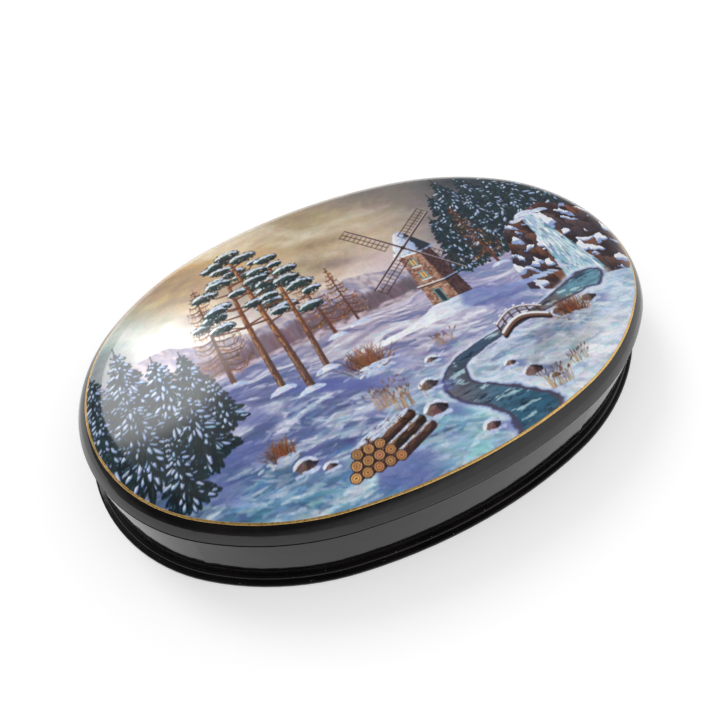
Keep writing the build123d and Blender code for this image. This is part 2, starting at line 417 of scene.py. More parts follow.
def snow_field():
    """The near ground: drifts of snow with violet hollows and turquoise lights."""
    edge = -1.5 + 4.4 * (clouds(X[0] / 18, X[0] * 0, 71, 3) - 0.5)
    ground = np.clip((edge[None, :] - Y) / 0.5 + 0.5, 0, 1)
    bend = clouds(X / 16, Y / 10, 77, 3)
    u, v = X / 20 + 1.2 * bend, (Y + 0.12 * X) / 4.2 + 2.2 * bend
    light = (clouds(u, v, 73) - clouds(u, v + 0.12, 73)) * 11
    lay(ground, wash(snow_wash, 7))
    lay(ground * 0.75 * np.clip(light, 0, 1), snow_white)
    lay(ground * 0.75 * np.clip(-light, 0, 1), wash(hollow_wash, 18))
    for _ in range(8500):
        x, y = between(*picture_span), -1.5 - 43.4 * sqrt(rng.random())
        near = -y / 44
        tone = vary(canvas[at_point(x, y)], 0.07)
        chance = rng.random()
        if chance < 0.08:
            tone = mix(tone, turquoise, 0.4)
        elif chance < 0.22:
            tone = mix(tone, snow_white, 0.6)
        length, width = (1.2, 2.5 + 3.5 * near), (0.35, 0.5 + 0.6 * near)
        brush(x, y, rng.normal(-0.12, 0.28), length, width, tone, 0.6)


shadow_angle = -0.42


def cast_shadow(x, y, length, width, depth=0.6):
    """A blue shadow on the snow, thrown to the right front and fading."""
    place = window([(x, y), (x + length - 3, y + 3 - 0.6 * length)], 3)
    u, v = turned(x, y, shadow_angle, place)
    u = u / length
    v = v / (width * (1 + 0.6 * u))
    ragged = 0.35 * (clouds(X[place] / 1.5, Y[place] / 0.8, 131, 3) - 0.5)
    along = smooth((u + 0.06) / 0.08) * smooth((1 - u) / 0.6)
    blend_in(place, depth * along * smooth((1 - np.abs(v) + ragged) / 0.5), shadow_blue)


def mound(x, y, reach):
    """A little heap of snow round the foot of a tree."""
    for _ in range(int(26 * reach)):
        u = between(-1, 1)
        lift = reach * (0.45 * sqrt(1 - u * u) * rng.random() - 0.3)
        snow(x + reach * u, y + lift, between(0, 0.5) + 0.4 * max(u, 0), -0.35 * u)


def fir(x, base, height, haze=0, snowy=0.72):
    """A fir under snow, its boughs painted from the ground up."""
    def misty(tone):
        return mix(tone, mist, haze)

    line([(x, base - 0.8), (x, base + 1.04 * height)], (height / 15, 0.25), misty(fir_dark))
    tiers = int(height / 1.45) + 3
    for k in range(tiers):
        t = (k + 0.3 * rng.random()) / tiers
        y = base + height * (0.07 + 0.91 * t)
        reach = height * 0.3 * (1 - t) ** 0.85 * between(0.74, 1.16) + 0.35
        sides = np.linspace(-1, 1, 3 + int(reach / 0.9))
        for s in sorted(sides + rng.normal(0, 0.1, len(sides)), key=abs, reverse=True):
            start = np.array((x + 0.15 * reach * s, y))
            run = np.array((0.85 * reach * s, -reach * (0.72 - 0.42 * abs(s)) * between(0.8, 1.25)))
            span, angle, lit = hypot(*run), atan2(run[1], run[0]), 0.5 - 0.5 * s
            bough = misty(vary(fir_dark, 0.15))
            dab(*(start + run / 2), angle, span + 1.1, 0.8 + 0.14 * reach, bough, 0.95)
            for _ in range(3 + int(span)):
                px, py = start + run * rng.random()
                tone = misty(vary(mix(fir_dark, fir_teal, (0.2 + 0.8 * lit) * rng.random()), 0.12))
                brush(px, py - 0.35, 0.7 * s - upright + rng.normal(0, 0.35), short, fine, tone)
            if rng.random() < snowy:
                px, py = start + run * between(0.4, 0.75)
                pad, thick = span * between(0.4, 1) + 0.2, between(0.3, 0.62) + 0.045 * reach
                dab(px, py + 0.12, angle, pad, thick, misty(vary(snow_blue)), 0.95)
                top = misty(mix(snow_blue, snow_white, 0.35 + 0.6 * lit))
                dab(px - 0.08, py + 0.3, angle, 0.8 * pad, 0.6 * thick, top, 0.95)


# A larch's bough, in shares of its reach and its sag
bough_shares = ((0, 0), (0.35, -1), (0.7, -1), (1, 0.6))


def larch(x, base, height, lean):
    """A bare larch: fine boughs that sag and turn up, hung with twigs and golden buds."""
    def stem(t):
        return np.array((x + lean * t * t, base + height * t))

    bark = mix(umber, sienna, 0.6)
    line([stem(t) for t in np.linspace(0, 1, 6)], (height / 26, 0.12), bark)
    boughs = int(height * 1.15)
    for k in range(boughs):
        t = 0.14 + 0.84 * (k + rng.random()) / boughs
        reach = (-1) ** k * height * 0.27 * (1 - t) ** 0.75 * between(0.65, 1.15)
        sag = abs(reach) * between(0.05, 0.22)
        tone, bends = vary(bark, 0.12), [stem(t) + (reach * u, sag * v) for u, v in bough_shares]
        line(bends, (0.34 + 0.006 * height, 0.12), tone, 0.85)
        for _ in range(3 + int(abs(reach) * 1.3)):
            u, drop, turn = between(0.15, 1), between(0.8, 2), between(-0.5, 0.5)
            twig = stem(t) + (reach * u, -sag * sin(pi * min(1.3 * u, 1)))
            line([twig, twig + (turn, -drop)], (0.18, 0.1), vary(tone, 0.15), 0.7)
            if rng.random() < 0.5:
                bud = vary(mix(rust, gold, rng.random()))
                dab(*(twig + (turn * u, -drop * u)), 0, 0.45, 0.36, bud, 0.7)
    mound(x, base, 2)


def pine(x, base, height, width, lean):
    """A tall pine with a rusty upper trunk and clumps of needles under snow."""
    def stem(t):
        return np.array((x + lean * t**1.5 + 0.3 * sin(5 * t + x), base + height * t))

    cast_shadow(x, base, 24, 1.7, 0.75)
    line([stem(t) for t in np.linspace(0, 0.96, 9)], (width, width * 0.4), (0.36, 0.22, 0.18))
    for _ in range(int(height * 9)):
        t, off = 0.95 * rng.random(), between(-0.8, 0.8)
        tone = mix((0.42, 0.33, 0.33), rust, smooth(t * 2))
        tone = mix(tone, gold, 0.45) if off < -0.2 else mix(tone, umber, 0.6 if off > 0.2 else 0.15)
        px, py = stem(t) + (off * width * (0.5 - 0.3 * t), 0)
        brush(px, py, upright + rng.normal(0, 0.25), short, hair, vary(tone, 0.07))
    clumps = [(*stem(0.98), between(2.4, 3))]
    count = 11
    for k in range(count):
        t = 0.44 + 0.53 * (k + rng.random()) / count
        reach = (-1) ** (k + int(x)) * height * 0.22 * (1.3 - t) * between(0.4, 1.3)
        fork, rise = stem(t - 0.05), abs(reach) * between(0.15, 0.5) + 0.6
        bends = [fork + (reach * u, rise * v) for u, v in ((0, 0), (0.6, 0.2), (1, 0.9))]
        line(bends, (width * 0.34, 0.22), (0.42, 0.24, 0.17))
        clumps.append((*(fork + (reach, rise)), between(1.7, 3.3)))
    for cx, cy, size in sorted(clumps, key=lambda clump: clump[1]):
        for _ in range(int(50 * size)):
            c, s = toward(between(0, 2 * pi), sqrt(rng.random()))
            lit, px, py = smooth(0.5 + 0.6 * s - 0.3 * c), cx + 1.15 * size * c, cy + 0.5 * size * s
            tone = vary(mix(fir_dark, (0.22, 0.42, 0.38), lit * between(0.2, 1)), 0.12)
            brush(px, py, between(0.2, 2.9), short, fine, tone)
        for _ in range(int(12 * size)):
            u = between(-1, 1)
            lift = 0.48 * sqrt(1 - 0.8 * u * u) - 0.22 * rng.random()
            blue = rng.random() * (0.5 + 0.45 * u)
            snow(cx + size * u, cy + size * lift, blue, -0.5 * u, short, (0.28, 0.55))
    mound(x, base, 2.6)


# Windmill: where it stands, its height, and its parts in shares of that height
mill_x, mill_base, mill_height = 17, -7.5, 27
wall_half, corner, eave = 0.205, 0.06, 0.7
hub_shares, sail_reach, sail_width = (-0.055, 0.77), 0.62 * mill_height, 0.115 * mill_height
pane_shares = ((-0.11, 0), (-0.05, -0.005), (-0.05, 0.085), (-0.11, 0.09))
panes = ((0, 1.8, night_teal), (0.32, 1, gold), (0.5, 1, gold))
wall_tones = (
    (-wall_half, corner, ((0.72, 0.54, 0.44), (0.54, 0.37, 0.32), (0.82, 0.68, 0.58))),
    (corner, wall_half, ((0.32, 0.21, 0.22), (0.24, 0.16, 0.19), (0.4, 0.28, 0.28))),
)


def mill():
    """A shingled windmill on a knoll, with snow on its cap and sails."""
    def at(u, v):
        return mill_x + u * mill_height, mill_base + v * mill_height

    def stroke(points, width, tone, alpha=1, last=None):
        line(points, (width * mill_height / 100, (last or width) * mill_height / 100), tone, alpha)

    for _ in range(1300):
        spread = rng.normal(0, 10)
        lift = 4.6 * exp(-((spread / 11) ** 2)) * rng.random()
        blue = (0.5 + 0.5 * tanh(spread / 7)) * between(0.3, 0.95)
        snow(mill_x + spread, mill_base - 4 + lift, blue, -0.02 * spread, long, (0.5, 0.9))
    cast_shadow(mill_x + 2, mill_base - 1, 24, 4.2)
    # Walls of shingles
    courses, shingles = 30, 11
    for low, high, tones in wall_tones:
        fill([at(low, 0), at(high, 0), at(0.8 * high, eave), at(0.8 * low, eave)], tones[1])
        for k in range(courses):
            t = (k + 0.5) / courses
            left, step = low * (1 - 0.2 * t), (high - low) * (1 - 0.2 * t) / shingles
            for j in range(shingles):
                x, y = at(left + step * (j + 0.5 * (k % 2) + 0.25), eave * t + 0.01)
                tone = vary(tones[rng.integers(3)], 0.06)
                dab(x, y, upright, 0.03 * mill_height, 1.2 * step * mill_height, tone, 0.75)
            stroke([at(left, eave * t), at(left + step * shingles, eave * t)], 0.6, dark_timber, 0.6)
    # Cap under snow, and the trims round the walls
    peak, ridge, low_corner = at(0.04, 0.99), at(-0.05, 0.97), at(corner, eave - 0.045)
    fill([at(-wall_half, eave - 0.02), low_corner, peak, ridge], (0.4, 0.5, 0.56))
    fill([low_corner, at(wall_half, eave - 0.015), peak], (0.16, 0.21, 0.27))
    for _ in range(260):
        t, s = rng.random(), rng.random()
        foot = at(-wall_half * 0.97 + (wall_half + corner) * s, eave - 0.01 - 0.02 * s)
        snow(*mix(foot, at(-0.045 + 0.08 * s, 0.97), t), 0.75 * s, 1.1)
    for height, width, tones in (
        (eave - 0.03, 2.3, (snow_white, snow_blue)),
        (0.235, 1.5, (dark_timber, near_black)), (0.252, 1.2, (snow_white, snow_blue)),
    ):
        for end, tone in zip((-1.05 * wall_half, 1.03 * wall_half), tones):
            stroke([at(end, height), at(corner, height - 0.02)], width, tone)
    # Door, windows and sails
    for low, tall, tone in panes:
        pane = [at(u, low + tall * v) for u, v in pane_shares]
        fill(pane, tone)
        stroke(pane + pane[:1], 1.3, (0.4, 0.58, 0.6))
        stroke([at(-0.08, low), at(-0.08, low + 0.085 * tall)], 0.7, night_teal)
        stroke([at(-0.125, low - 0.015), at(-0.035, low - 0.02)], 1.3, snow_white)
    hub = np.array(at(*hub_shares))
    for turn in 0.62 + np.arange(4) * upright:
        arm, side = toward(turn, sail_reach), toward(turn + upright, sail_width)
        for t in np.linspace(0.22, 1, 11):
            stroke([hub + arm * t, hub + arm * t + side], 0.8, dark_timber, 0.85)
        for across in (0.5 * side, side):
            stroke([hub + across + 0.22 * arm, hub + across + arm], 0.9, dark_timber)
        stroke([hub, hub + arm], 2.4, dark_timber, last=1.5)
        stroke([hub + 0.1 * side, hub + 0.1 * side + arm], 0.9, snow_rose, 0.75)
    dab(*hub, 0, 0.05 * mill_height, 0.05 * mill_height, umber)


# Crag: its outline, and the frozen fall's heights and the x of its two edges at each
crag_outline = (
    (35, -14), (36, -6), (39, -1), (41, 5), (45, 9), (49, 8), (53, 11), (58, 12), (63, 9),
    (70, 6), (70, -14), (63, -19), (55, -18), (47, -15), (41, -17),
)
facets = 150
fall_heights = (-16, -7, 1, 8.5)
fall_left, fall_right = (45.5, 47.5, 49, 49.8), (57, 55.8, 54.4, 53.6)
fall_tones = (turquoise, snow_white, ice_pale, (0.24, 0.42, 0.52), snow_white, snow_blue)


def crag():
    """Weathered rocks in facets, snow on their shelves, and a frozen fall between them."""
    place, mask = area(crag_outline)
    gx, gy = X[place], Y[place]
    seed_x, seed_y = rng.uniform(33, 71, facets), rng.uniform(-20, 13, facets)
    u = gx + 3 * (clouds(gx / 3, gy / 3, 91, 3) - 0.5)
    v = gy + 3 * (clouds(gx / 3, gy / 3, 95, 3) - 0.5) + 0.3 * gx
    seeds = zip(seed_x, seed_y)
    away = np.stack([np.hypot((u - x) * 1.2, (v - y - 0.3 * x) * 0.75) for x, y in seeds])
    owner, ordered = np.argmin(away, 0), np.sort(away, 0)
    rise = v - seed_y[owner] - 0.3 * seed_x[owner]
    shade = smooth(rng.random(facets)[owner] + 0.12 * rise)[..., None]
    blend_in(place, mask, (0.17, 0.11, 0.13) + shade * np.array((0.35, 0.21, 0.1)))
    blend_in(place, mask * 0.5 * smooth((clouds(gx / 5, gy / 5, 99, 3) - 0.42) * 5), (0.27, 0.26, 0.34))
    blend_in(place, mask * 0.75 * smooth(1 - (ordered[1] - ordered[0]) / 0.4), near_black)
    rework(1500, (36, 69), (-18, 11), 1.1, 0.5, (0.6, 1.8), hair, 0.16, 0.55)
    shelf = (rng.random(facets)[owner] < 0.52) * mask * 0.95
    drift = rise + 2.2 * (clouds(gx / 2.5, gy / 1.5, 103, 3) - 0.5)
    blend_in(place, shelf * smooth((drift - 0.1) / 0.35), snow_blue)
    blend_in(place, shelf * smooth((drift - 0.75) / 0.5), snow_white)
    edges = list(zip(fall_left, fall_heights)) + list(zip(fall_right, fall_heights))[::-1]
    fill(edges, (0.4, 0.62, 0.7))
    for _ in range(900):
        y, s = between(fall_heights[0], fall_heights[-1]), rng.random()
        x = mix(np.interp(y, fall_heights, fall_left), np.interp(y, fall_heights, fall_right), s)
        tone = mix(fall_tones[rng.integers(6)], snow_white, 0.35 * sin(pi * s))
        brush(x, y, upright + 0.3 * (s - 0.5), (1, 4), (0.25, 0.7), vary(tone), 0.7)
    for x, y, reach in ((51.5, 9, 3.2), (48.5, 7.6, 2), (55.5, 8.6, 2.5)):
        mound(x, y + 0.3 * reach, reach)


def boulder(x, y, size):
    """A rock half sunk in the snow: lit and shaded faces under a ragged cap of snow."""
    cast_shadow(x, y - 0.2 * size, 3 * size, 0.6 * size)
    turns = np.linspace(0, 2 * pi, 9, endpoint=False) + rng.normal(0, 0.14, 9)
    ring = []
    for turn in turns:
        ring.append((x + size * between(0.84, 1.12) * cos(turn), y + 0.6 * size * sin(turn)))
    ridge = (x + between(-0.1, 0.3) * size, y + 0.22 * size)
    for turn, start, end in zip(turns, ring, ring[1:] + ring[:1]):
        lit = smooth(0.45 - 0.62 * cos(turn + 0.4) - 0.22 * sin(turn))
        fill([ridge, start, end], vary(mix(near_black, (0.47, 0.36, 0.33), lit), 0.1))
    rework(int(16 * size), (x - 0.6 * size, x + 0.6 * size), (y - 0.4 * size, y + 0.4 * size),
           1.2, 0.4, short, hair, 0.18, 0.6)
    for _ in range(int(32 * size)):
        turn = between(0.12, 0.92) * pi
        c, lift = cos(turn), 0.62 * sin(turn) - 0.2 * rng.random()
        blue = (0.5 + 0.45 * c) * rng.random()
        snow(x + 0.92 * size * c, y + size * lift, blue, -0.5 * c, short, fine)
    for _ in range(int(9 * size)):
        snow(x + between(-1.15, 1.15) * size, y - size * between(0.5, 0.72), 0.5, length=short)


# The brook's middle line: x, y and half width
brook_line = (
    (58, -16, 6.2), (40, -19, 2.4), (29, -20.5, 1.5), (17, -21.8, 1.6), (6, -24, 2.2),
    (3, -29.5, 2.9), (10, -34.5, 3.9), (15.5, -40, 5.2), (17, -48, 6.6),
)


def brook():
    """A half-frozen brook that winds to the front between banks of snow."""
    steps, even = range(len(brook_line)), np.ones(13) / 13
    t = np.linspace(0, steps[-1], 110)
    path = [np.convolve(np.interp(t, steps, values), even, "valid") for values in zip(*brook_line)]
    near = np.full(X.shape, np.inf)
    for x, y, half_bed in zip(*path):
        near = np.minimum(near, np.hypot(X - x, (Y - y) * 1.9) / half_bed)
    near += 0.55 * (clouds(X / 3.2, Y / 1.8, 113) - 0.5)
    for edge, soft, alpha, tone in (
        (1.9, 0.7, 0.7, snow_white), (1.46, 0.3, 0.8, snow_blue), (1.26, 0.18, 0.85, dark_water),
    ):
        lay(smooth((edge - near) / soft) * alpha, tone)
    ice = smooth((1 - near) / 0.16)
    ripple = clouds(X / 3.2, Y / 0.6, 117, 3)[..., None] - 0.5
    lay(ice, np.clip(wash(ice_wash, 4) * (1 + 0.55 * ripple), 0, 1))
    lay(ice * smooth((clouds(X / 4.5, Y / 0.9, 121) - 0.6) * 9) * 0.85, ice_pale)
    lay(ice * smooth((0.42 - clouds(X / 3.5, Y / 0.8, 123)) * 9) * 0.7, (0.1, 0.16, 0.24))


# Footbridge: its ends, level and rise, and the height, width and tone of each rail
bridge_from, bridge_to, bridge_y, bridge_rise = 21, 34, -22.3, 2.4
bridge_rails = (
    (-0.8, 1, near_black), (0, 1.1, timber), (0.5, 0.6, snow_white), (2.8, 0.42, timber),
    (3.1, 0.32, snow_white), (1.6, 0.26, dark_timber),
)


def bridge():
    """A low wooden footbridge over the narrow of the brook."""
    deck = []
    for t in np.linspace(0, 1, 12):
        deck.append((mix(bridge_from, bridge_to, t), bridge_y + bridge_rise * sin(pi * t)))
    for x, y in deck[::2]:
        line([(x, y + 0.2), (x, y + 3.4)], (0.5, 0.4), dark_timber)
        dab(x, y + 3.6, 0, 0.9, 0.6, snow_white)
    for lift, width, tone in bridge_rails:
        line([(x, y + lift) for x, y in deck], (width, width), tone)


def log_pile(x, y, thick, reach):
    """Felled logs stacked in three rows under snow, their sawn ends to the front left."""
    cast_shadow(x + 0.5 * reach, y - 0.4 * thick, 2 * reach, 1.7 * thick, 0.7)
    run = np.array((reach, 0.3 * reach))
    for row, k in ((row, k) for row in range(3) for k in range(5 - row)):
        end = np.array((x + (k + 0.5 * row) * 1.04 * thick, y + 0.86 * row * thick))
        line([end, end + run], (thick, 0.86 * thick), vary(umber, 0.15))
        open_above = k == 4 - row or row == 2
        for j in range(70 + 40 * open_above):
            off = between(0.2, 0.62) if j >= 70 else between(-0.42, 0.42)
            px, py = end + run * rng.random() + (-0.3 * off * thick, off * thick)
            if off > 0.42 or open_above and off > 0.3:
                snow(px, py, 0.7 * rng.random(), 0.29, width=fine)
            else:
                tone = vary(mix((0.66, 0.47, 0.36), near_black, smooth(0.5 - off)), 0.14)
                brush(px, py, rng.normal(0.29, 0.08), middling, hair, tone)
        for share, tone in zip((1.04, 0.84, 0.64, 0.44, 0.24), (umber, gold, sienna, gold, sienna)):
            ring = vary(mix(tone, timber, 0.15), 0.08)
            dab(*end, 0, share * thick, 0.94 * share * thick, ring, 0.9)


def bush(x, base, height, spread, twigs):
    """A fan of bare russet twigs with snow at its foot."""
    for _ in range(twigs):
        angle, length = upright + rng.normal(0, 0.42), height * between(0.5, 1)
        root = np.array((x + rng.normal(0, 0.28 * spread), base))
        tone = vary(mix(dark_timber, rust, rng.random()), 0.12)
        heading = toward(angle, length)
        bow = np.array((rng.normal(0, 0.12) * length, 0))
        line([root, root + 0.5 * heading, root + heading + bow], (0.3, 0.12), tone, 0.85)
        for t in (0.5, 0.75):
            side, fork = angle + rng.choice((-1, 1)) * between(0.3, 0.7), root + heading * t
            line([fork, fork + toward(side, 0.3 * length)], (0.2, 0.1), tone, 0.8)
    for _ in range(int(spread * 12)):
        place = (x + rng.normal(0, 0.42 * spread), base + height * between(-0.05, 0.22))
        snow(*place, 0.8 * rng.random(), rng.normal(0, 0.3))


def grasses(x, base, count, height):
    """A tuft of dry stalks with heavy heads."""
    for _ in range(count):
        root = np.array((rng.normal(x, 1.6), base))
        bow, h = rng.normal(0.25, 0.5), height * between(0.5, 1)
        tip = root + (0.75 * bow * h, h)
        straw = vary(mix(timber, gold, 0.5), 0.15)
        line([root, root + (0.25 * bow * h, 0.6 * h), tip], (0.22, 0.12), straw, 0.85)
        dab(*tip, upright - bow, 1, 0.34, vary(timber, 0.12))


# Where the motifs stand: x, foot and height, then what else each takes
back_firs = (
    (33, 5, 24), (45, 8, 26), (38, 6, 29), (52, 10, 22), (68, 4, 18), (60, 9, 20), (28, 2, 18),
    (42, 5, 21), (56, 9, 18), (31, 0, 13), (48, 6, 19), (64, 6, 18), (36, 1, 17), (26, -1, 10),
    (40, 1, 13), (69, 2, 12), (53, 8, 14),
)
near_firs = (
    (-66, -5, 20), (-46, -5, 15), (-59, -6, 25), (-52, -8, 20), (-67, -14, 19), (-42.5, -13, 13),
    (-60, -17, 25), (-49, -19, 21), (-55, -25, 16),
)
larches = ((-38, -5, 33, 1.5), (-12.5, -4, 26, -1), (-6, -3, 20, 0.6), (34, -3, 25, 1))
pines = ((-29.5, -11, 45, 1.7, 2), (-24, -14, 50, 1.9, -0.8), (-18.5, -11, 40, 1.5, 2.2))
bushes = ((-10, -17, 8, 6, 100), (40, -26, 7, 5, 90), (-36, -27, 6, 4, 60))
log_place = (-25.5, -36.8, 2.5, 9)
tufts = ((-12, -26, 22, 6), (-8, -28, 18, 5), (24, -39, 22, 5), (8, -18, 14, 3.5), (33, -36, 12, 3.5))
boulders = (
    (-1.5, -25.5, 2.4), (2.4, -20.3, 1.5), (-3.2, -31.2, 2.9), (21, -33, 2.6), (17.6, -29.2, 1.5),
    (36.5, -22.3, 1.8), (46, -22.2, 2.3), (-33, -29.5, 2.6), (-28.6, -32, 1.5), (24.6, -36.4, 1.4),
    (5, -40, 2.1),
)


def paint():
    """Lays the winter landscape on the canvas, from the sky forward."""
    sky()
    hills()
    far_woods()
    snow_field()
    for place in back_firs:
        fir(*place, haze=0.12, snowy=0.42)
    for place in larches:
        larch(*place)
    crag()
    mill()
    brook()
    bridge()
    for place in boulders:
        boulder(*place)
    log_pile(*log_place)
    for place in pines:
        pine(*place)
    for x, base, height in near_firs:
        cast_shadow(x + 1, base + 0.3, 0.8 * height, 0.16 * height)
        fir(x, base, height)
    for place in bushes:
        bush(*place)
    for place in tufts:
        grasses(*place)


# Centre, length, width and turn of the mother-of-pearl plates
pearl_plates = (
    (-43.5, 12.4, 31.9, 19.6, 20), (-5.8, 21.9, 24.7, 13.1, -6),
    (32.6, -28.5, 24.7, 12.3, 20), (-42, -23.8, 18.9, 10.2, -30),
)


def pearl_field():
    """Where the mother-of-pearl glows through the paint, soft-edged, from 0 to 1."""
    field = np.zeros_like(X)
    for x, y, length, width, turn in pearl_plates:
        u, v = turned(x, y, radians(turn))
        beyond = ((u / (length / 2)) ** 4 + (v / (width / 2)) ** 4) ** 0.25
        field = np.maximum(field, smooth((1.25 - beyond) / 0.5))
    return field * smooth(1.4 * clouds(X / 6, Y / 4, 201))


# Making pieces
def linear(colour):
    """Display colour to the linear values that shaders use."""
    colour = np.asarray(colour, float)
    return np.where(colour <= 0.04045, colour / 12.92, ((colour + 0.055) / 1.055) ** 2.4)


def rgb(red, green, blue):
    return (*linear((red, green, blue)).tolist(), 1)


def place_in_scene(name, data):
    made = bpy.data.objects.new(name, data)
    bpy.context.scene.collection.objects.link(made)
    return made


def new_piece(name, points, faces, normals=None):
    """A smooth mesh piece from millimetre points that rides on the lid."""
    mesh = bpy.data.meshes.new(name)
    mesh.from_pydata(points * mm, [], faces.tolist())
    mesh.update()
    mesh.shade_smooth()
    if normals is not None:
        mesh.normals_split_custom_set_from_vertices(normals)
    piece = place_in_scene(name, mesh)
    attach(piece, "lid")
    return piece


def wear(piece, material):
    """Puts one material in every slot."""
    if not piece.material_slots:
        piece.data.materials.append(material)
    for held in piece.material_slots:
        held.material = material


class Shader:
    """A material's node tree, built by short calls."""

    def __init__(self, name, world=None):
        self.material = world or bpy.data.materials.new(name)
        self.material.use_nodes = True
        self.tree = self.material.node_tree
        self.base = self.tree.nodes["Background" if world else "Principled BSDF"]

    def node(self, kind, inputs=(), **settings):
        made = self.tree.nodes.new("ShaderNode" + kind)
        for key, value in settings.items():
            setattr(made, key, value)
        for key, value in dict(inputs).items():
            self.put(made, key, value)
        return made

    def put(self, target, key, value):
        if isinstance(value, bpy.types.NodeSocket):
            self.tree.links.new(value, target.inputs[key])
        else:
            target.inputs[key].default_value = value

    def set(self, **values):
        for key, value in values.items():
            self.put(self.base, key.replace("_", " "), value)

    def noise(self, scale, detail=3, roughness=0.55, distortion=0, stretch=(1, 1, 1)):
        place = self.node("TexCoord").outputs["Object"]
        place = self.node("Mapping", {"Vector": place, "Scale": stretch}).outputs["Vector"]
        inputs = {"Vector": place, "Scale": scale, "Detail": detail,
                  "Roughness": roughness, "Distortion": distortion}
        return self.node("TexNoise", inputs).outputs[0]

    def ramp(self, factor, low, high, out_low=0, out_high=1):
        inputs = {"Value": factor, "From Min": low, "From Max": high,
                  "To Min": out_low, "To Max": out_high}
        return self.node("MapRange", inputs, clamp=True).outputs["Result"]

    def blend(self, factor, first, second):
        return self.node("Mix", {0: factor, 6: first, 7: second}, data_type="RGBA").outputs[2]

    def maths(self, operation, first, second):
        return self.node("Math", {0: first, 1: second}, operation=operation).outputs[0]

    def bump(self, height, strength, distance):
        inputs = {"Height": height, "Strength": strength, "Distance": distance}
        return self.node("Bump", inputs).outputs["Normal"]


def turned_in(shader):
    """1 on faces that look down or in at the box's middle, 0 on its outside."""
    coordinates = shader.node("TexCoord").outputs
    normal = coordinates["Normal"]
    level = shader.node("VectorMath", {0: normal, 1: (1, 1, 0)}, operation="MULTIPLY").outputs[0]
    ends = {0: level, 1: coordinates["Object"]}
    outward = shader.node("VectorMath", ends, operation="DOT_PRODUCT").outputs["Value"]
    rise = shader.node("SeparateXYZ", {"Vector": normal}).outputs["Z"]
    return shader.maths("MAXIMUM", shader.ramp(outward, -0.012, -0.016), shader.ramp(rise, -0.6, -0.66))


def lacquer(name, colour, deep, roughness, gloss, dust=0, lining=None):
    """Polished lacquer: faint waves, fine polishing haze and, if asked, dust or a lining's colour."""
    shader = Shader(name)
    tone = shader.blend(shader.ramp(shader.noise(90, 4), 0.35, 0.7), deep, colour)
    haze = shader.noise(900, 5, 0.65)
    if dust:
        spot = shader.ramp(shader.noise(2600, 2, 0.5), 0.745, 0.765, 0, dust)
        tone = shader.blend(spot, tone, rgb(0.75, 0.75, 0.74))
    if lining:
        tone = shader.blend(turned_in(shader), tone, lining)
    shader.set(
        Base_Color=tone, IOR=gloss,
        Roughness=shader.ramp(haze, 0.35, 0.75, roughness, roughness + 0.07),
        Normal=shader.bump(shader.noise(160, 2), 0.1, 0.0004),
    )
    return shader.material


def pearl_shell():
    """Mother-of-pearl: cloudy bands of cream, rose and sea green."""
    shader = Shader("mother_of_pearl")
    bands = shader.noise(140, 3, 0.5, 2.2)
    tone = shader.blend(shader.ramp(bands, 0.38, 0.52), rgb(0.8, 0.88, 0.86), rgb(0.96, 0.94, 0.9))
    tone = shader.blend(shader.ramp(bands, 0.52, 0.66), tone, rgb(0.93, 0.82, 0.86))
    rough = shader.ramp(bands, 0.3, 0.7, 0.18, 0.34)
    shader.set(Base_Color=tone, Metallic=0.45, Roughness=rough, IOR=1.6)
    return shader.material


def toned_brass():
    """Brushed brass with brownish stains."""
    shader = Shader("toned_brass")
    stain = shader.ramp(shader.noise(500, 4), 0.35, 0.75)
    brushed = shader.noise(700, 3, 0.6, 0, (0.1, 1, 1))
    shader.set(
        Base_Color=shader.blend(stain, rgb(0.8, 0.65, 0.36), rgb(0.6, 0.45, 0.24)), Metallic=1,
        Roughness=shader.ramp(brushed, 0.3, 0.7, 0.22, 0.42),
        Normal=shader.bump(brushed, 0.15, 0.0001),
    )
    return shader.material


def gilt():
    """Gold paint: bright flakes, thin and brownish in places."""
    shader = Shader("gilt_paint")
    flakes = shader.noise(2400, 4, 0.6)
    worn = shader.ramp(shader.noise(180, 3), 0.55, 0.8, 0, 0.6)
    tone = shader.blend(shader.ramp(flakes, 0.35, 0.65), rgb(0.86, 0.66, 0.34), rgb(0.98, 0.84, 0.55))
    shader.set(
        Base_Color=shader.blend(worn, tone, rgb(0.52, 0.36, 0.18)), Metallic=0.75,
        Roughness=shader.ramp(flakes, 0.3, 0.7, 0.24, 0.44),
        Normal=shader.bump(flakes, 0.35, 0.00005),
    )
    return shader.material


def picture_paint():
    """The painting under clear lacquer, with pearl that glows through its thin places."""
    shader = Shader("picture_paint")
    tone = shader.node("Attribute", attribute_name="paint").outputs["Color"]
    glow = shader.node("Attribute", attribute_name="pearl").outputs["Fac"]
    grain = shader.noise(1500, 4, 0.6)
    value = shader.ramp(grain, 0.3, 0.7, 0.93, 1.07)
    lively = shader.node("HueSaturation", {"Color": tone, "Value": value})
    shimmer = shader.ramp(shader.noise(120, 3, 0.5, 1.5), 0.3, 0.7, 0.25, 0.75)
    shader.set(
        Base_Color=lively.outputs["Color"],
        Metallic=shader.maths("MULTIPLY", glow, shimmer),
        Roughness=shader.ramp(grain, 0.3, 0.7, 0.34, 0.46),
        Normal=shader.bump(grain, 0.06, 0.0001),
        Specular_IOR_Level=0.2,
        Coat_Weight=1, Coat_Roughness=0.13, Coat_IOR=1.4,
    )
    return shader.material


def at_corners(values):
    """What the four corners of each cell of the grid hold."""
    return np.stack([values[:-1, :-1], values[:-1, 1:], values[1:, 1:], values[1:, :-1]], -1)


